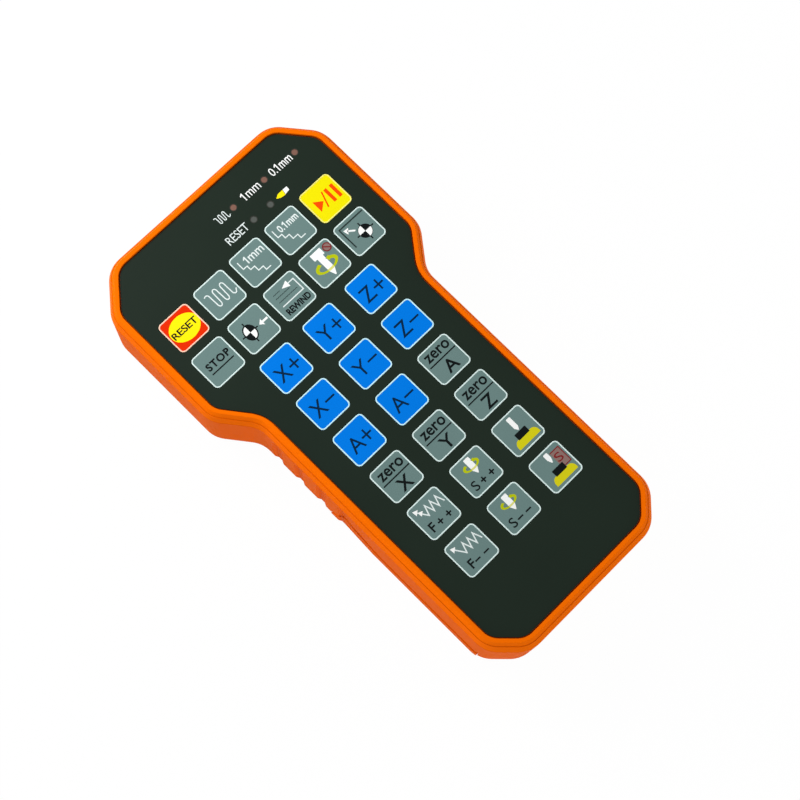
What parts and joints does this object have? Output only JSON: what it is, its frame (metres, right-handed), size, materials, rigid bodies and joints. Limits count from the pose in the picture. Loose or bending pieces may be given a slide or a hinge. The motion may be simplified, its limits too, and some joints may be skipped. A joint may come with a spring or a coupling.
{
  "type": "wireless machine control keypad",
  "caption": "Hand-held wireless keypad pendant for a milling machine: wide head, narrow ridged handle, raised rim, flush printed keys and a battery door in the back.",
  "frame": {"origin": "on the back face, midway along and across the housing", "axes": "+Z out of the key face, +Y towards the wide head, +X to the right of the key face"},
  "size_m": [0.0902, 0.1731, 0.03],
  "materials": {
    "front_housing": "glossy orange moulded plastic",
    "rear_housing": "satin pale orange moulded plastic",
    "overlay_film": "dark printed film with a soft sheen",
    "key_grey": "grey printed key film",
    "key_blue": "blue printed key film",
    "key_red": "red printed key film",
    "key_yellow": "yellow printed key film",
    "window_red_brown": "clear red-brown window",
    "window_grey": "clear grey window",
    "light_guide": "clear acrylic",
    "lamp_white": "white lamp body",
    "board_green": "green solder mask",
    "radio_blue": "blue solder mask",
    "component_black": "moulded black component bodies",
    "switch_black": "moulded black switch bases",
    "tinned_steel": "tin plated sheet and cans",
    "spring_steel": "nickel plated spring wire and contact plates",
    "gold_pins": "gold plated pins",
    "capacitor_can": "sleeved aluminium cans",
    "cell_sleeve": "plain sleeved cells",
    "screw_steel": "zinc plated screws"
  },
  "bodies": {
    "housing": {"front_shell": "front_housing", "rear_shell": "rear_housing", "overlay": "overlay_film", "step_lamp_windows": "window_red_brown", "status_lamp_windows": "window_grey", "light_guides": "light_guide", "lamps": "lamp_white", "circuit_board": "board_green", "switch_bases": "switch_black", "microcontroller": "component_black", "crystal": "tinned_steel", "capacitors": "capacitor_can", "inductor": "component_black", "radio_board": "radio_blue", "radio_shield": "tinned_steel", "radio_pins": "gold_pins", "cell_left": "cell_sleeve", "cell_right": "cell_sleeve", "cell_springs": "spring_steel", "cell_contacts": "spring_steel", "contact_bridge": "spring_steel", "case_screws": "screw_steel", "board_screws": "screw_steel"},
    "battery_door": {"battery_door": "rear_housing"},
    "key_reset": {"key_reset": "key_red"},
    "key_jog_wave": {"key_jog_wave": "key_grey"},
    "key_step_1mm": {"key_step_1mm": "key_grey"},
    "key_step_01mm": {"key_step_01mm": "key_grey"},
    "key_play_pause": {"key_play_pause": "key_yellow"},
    "key_stop": {"key_stop": "key_grey"},
    "key_goto_datum": {"key_goto_datum": "key_grey"},
    "key_rewind": {"key_rewind": "key_grey"},
    "key_spindle": {"key_spindle": "key_grey"},
    "key_home": {"key_home": "key_grey"},
    "key_x_plus": {"key_x_plus": "key_blue"},
    "key_y_plus": {"key_y_plus": "key_blue"},
    "key_z_plus": {"key_z_plus": "key_blue"},
    "key_x_minus": {"key_x_minus": "key_blue"},
    "key_y_minus": {"key_y_minus": "key_blue"},
    "key_z_minus": {"key_z_minus": "key_blue"},
    "key_a_plus": {"key_a_plus": "key_blue"},
    "key_a_minus": {"key_a_minus": "key_blue"},
    "key_zero_a": {"key_zero_a": "key_grey"},
    "key_zero_x": {"key_zero_x": "key_grey"},
    "key_zero_y": {"key_zero_y": "key_grey"},
    "key_zero_z": {"key_zero_z": "key_grey"},
    "key_feed_up": {"key_feed_up": "key_grey"},
    "key_spindle_up": {"key_spindle_up": "key_grey"},
    "key_probe": {"key_probe": "key_grey"},
    "key_feed_down": {"key_feed_down": "key_grey"},
    "key_spindle_down": {"key_spindle_down": "key_grey"},
    "key_probe_auto": {"key_probe_auto": "key_grey"}
  },
  "joints": [
    {"name": "battery_door_hinge", "type": "hinge", "parent": "housing", "child": "battery_door", "pos_m": [0, -0.0755, 0], "axis": [-1, 0, 0], "range_deg": [0, 75]},
    {"name": "key_reset_press", "type": "slide", "parent": "housing", "child": "key_reset", "axis": [0, 0, -1], "range_m": [0, 0.0003], "stiffness_N_per_m": 2000},
    {"name": "key_jog_wave_press", "type": "slide", "parent": "housing", "child": "key_jog_wave", "axis": [0, 0, -1], "range_m": [0, 0.0003], "stiffness_N_per_m": 2000},
    {"name": "key_step_1mm_press", "type": "slide", "parent": "housing", "child": "key_step_1mm", "axis": [0, 0, -1], "range_m": [0, 0.0003], "stiffness_N_per_m": 2000},
    {"name": "key_step_01mm_press", "type": "slide", "parent": "housing", "child": "key_step_01mm", "axis": [0, 0, -1], "range_m": [0, 0.0003], "stiffness_N_per_m": 2000},
    {"name": "key_play_pause_press", "type": "slide", "parent": "housing", "child": "key_play_pause", "axis": [0, 0, -1], "range_m": [0, 0.0003], "stiffness_N_per_m": 2000},
    {"name": "key_stop_press", "type": "slide", "parent": "housing", "child": "key_stop", "axis": [0, 0, -1], "range_m": [0, 0.0003], "stiffness_N_per_m": 2000},
    {"name": "key_goto_datum_press", "type": "slide", "parent": "housing", "child": "key_goto_datum", "axis": [0, 0, -1], "range_m": [0, 0.0003], "stiffness_N_per_m": 2000},
    {"name": "key_rewind_press", "type": "slide", "parent": "housing", "child": "key_rewind", "axis": [0, 0, -1], "range_m": [0, 0.0003], "stiffness_N_per_m": 2000},
    {"name": "key_spindle_press", "type": "slide", "parent": "housing", "child": "key_spindle", "axis": [0, 0, -1], "range_m": [0, 0.0003], "stiffness_N_per_m": 2000},
    {"name": "key_home_press", "type": "slide", "parent": "housing", "child": "key_home", "axis": [0, 0, -1], "range_m": [0, 0.0003], "stiffness_N_per_m": 2000},
    {"name": "key_x_plus_press", "type": "slide", "parent": "housing", "child": "key_x_plus", "axis": [0, 0, -1], "range_m": [0, 0.0003], "stiffness_N_per_m": 2000},
    {"name": "key_y_plus_press", "type": "slide", "parent": "housing", "child": "key_y_plus", "axis": [0, 0, -1], "range_m": [0, 0.0003], "stiffness_N_per_m": 2000},
    {"name": "key_z_plus_press", "type": "slide", "parent": "housing", "child": "key_z_plus", "axis": [0, 0, -1], "range_m": [0, 0.0003], "stiffness_N_per_m": 2000},
    {"name": "key_x_minus_press", "type": "slide", "parent": "housing", "child": "key_x_minus", "axis": [0, 0, -1], "range_m": [0, 0.0003], "stiffness_N_per_m": 2000},
    {"name": "key_y_minus_press", "type": "slide", "parent": "housing", "child": "key_y_minus", "axis": [0, 0, -1], "range_m": [0, 0.0003], "stiffness_N_per_m": 2000},
    {"name": "key_z_minus_press", "type": "slide", "parent": "housing", "child": "key_z_minus", "axis": [0, 0, -1], "range_m": [0, 0.0003], "stiffness_N_per_m": 2000},
    {"name": "key_a_plus_press", "type": "slide", "parent": "housing", "child": "key_a_plus", "axis": [0, 0, -1], "range_m": [0, 0.0003], "stiffness_N_per_m": 2000},
    {"name": "key_a_minus_press", "type": "slide", "parent": "housing", "child": "key_a_minus", "axis": [0, 0, -1], "range_m": [0, 0.0003], "stiffness_N_per_m": 2000},
    {"name": "key_zero_a_press", "type": "slide", "parent": "housing", "child": "key_zero_a", "axis": [0, 0, -1], "range_m": [0, 0.0003], "stiffness_N_per_m": 2000},
    {"name": "key_zero_x_press", "type": "slide", "parent": "housing", "child": "key_zero_x", "axis": [0, 0, -1], "range_m": [0, 0.0003], "stiffness_N_per_m": 2000},
    {"name": "key_zero_y_press", "type": "slide", "parent": "housing", "child": "key_zero_y", "axis": [0, 0, -1], "range_m": [0, 0.0003], "stiffness_N_per_m": 2000},
    {"name": "key_zero_z_press", "type": "slide", "parent": "housing", "child": "key_zero_z", "axis": [0, 0, -1], "range_m": [0, 0.0003], "stiffness_N_per_m": 2000},
    {"name": "key_feed_up_press", "type": "slide", "parent": "housing", "child": "key_feed_up", "axis": [0, 0, -1], "range_m": [0, 0.0003], "stiffness_N_per_m": 2000},
    {"name": "key_spindle_up_press", "type": "slide", "parent": "housing", "child": "key_spindle_up", "axis": [0, 0, -1], "range_m": [0, 0.0003], "stiffness_N_per_m": 2000},
    {"name": "key_probe_press", "type": "slide", "parent": "housing", "child": "key_probe", "axis": [0, 0, -1], "range_m": [0, 0.0003], "stiffness_N_per_m": 2000},
    {"name": "key_feed_down_press", "type": "slide", "parent": "housing", "child": "key_feed_down", "axis": [0, 0, -1], "range_m": [0, 0.0003], "stiffness_N_per_m": 2000},
    {"name": "key_spindle_down_press", "type": "slide", "parent": "housing", "child": "key_spindle_down", "axis": [0, 0, -1], "range_m": [0, 0.0003], "stiffness_N_per_m": 2000},
    {"name": "key_probe_auto_press", "type": "slide", "parent": "housing", "child": "key_probe_auto", "axis": [0, 0, -1], "range_m": [0, 0.0003], "stiffness_N_per_m": 2000}
  ]
}
